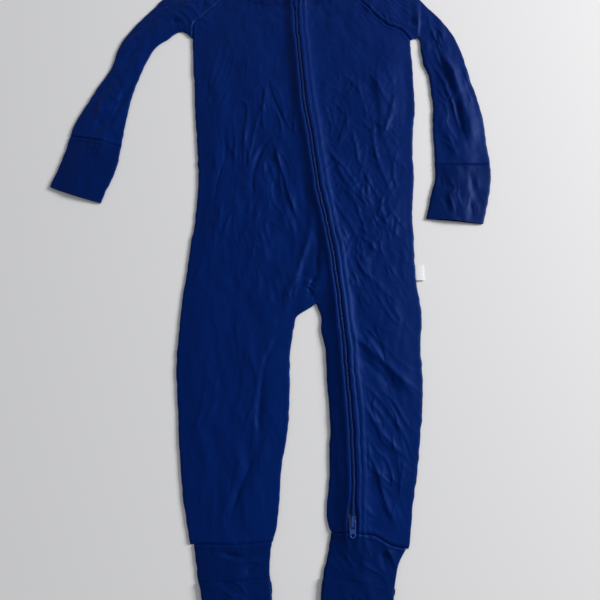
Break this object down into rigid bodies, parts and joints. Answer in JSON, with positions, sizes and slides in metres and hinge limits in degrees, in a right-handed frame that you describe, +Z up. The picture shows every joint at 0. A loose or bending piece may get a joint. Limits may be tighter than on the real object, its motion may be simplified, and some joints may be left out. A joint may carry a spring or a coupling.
{
  "type": "child's zip onesie pajama laid flat",
  "caption": "Child's long-sleeved one-piece pajama with raglan sleeves, fold-over cuffs and a diagonal front zip, laid flat on its back.",
  "frame": {"origin": "on the underside of the back, on the middle line between neck and feet, just above the crotch", "axes": "+Y to the neck, +X to the wearer's left, +Z up from the surface it lies on"},
  "size_m": [0.4394, 0.6762, 0.0084],
  "materials": {
    "jersey": "smooth viscose jersey with a soft sheen",
    "rib": "fine rib knit",
    "zip_tape": "woven tape",
    "zip_coil": "nylon coil",
    "zip_metal": "gloss enamel on die-cast metal",
    "label": "woven satin ribbon"
  },
  "bodies": {
    "garment": {"back": "jersey", "front_right": "jersey", "front_left": "jersey", "sleeve_right": "jersey", "sleeve_left": "jersey", "hand_cuff_right": "rib", "hand_cuff_left": "rib", "leg_cuff_right": "rib", "leg_cuff_left": "rib", "foot_cover_right": "rib", "foot_cover_left": "rib", "neckband": "rib", "zip_tape_right": "zip_tape", "zip_tape_left": "zip_tape", "zip_coil": "zip_coil", "zip_slider": "zip_metal", "zip_guard": "jersey", "label": "label"},
    "pull_tab": {"zip_pull": "zip_metal"}
  },
  "joints": [
    {"name": "pull_tab_hinge", "type": "hinge", "parent": "garment", "child": "pull_tab", "pos_m": [0.04381, -0.2344, 0.0066], "axis": [-1, 0, 0], "range_deg": [0, 150]}
  ]
}
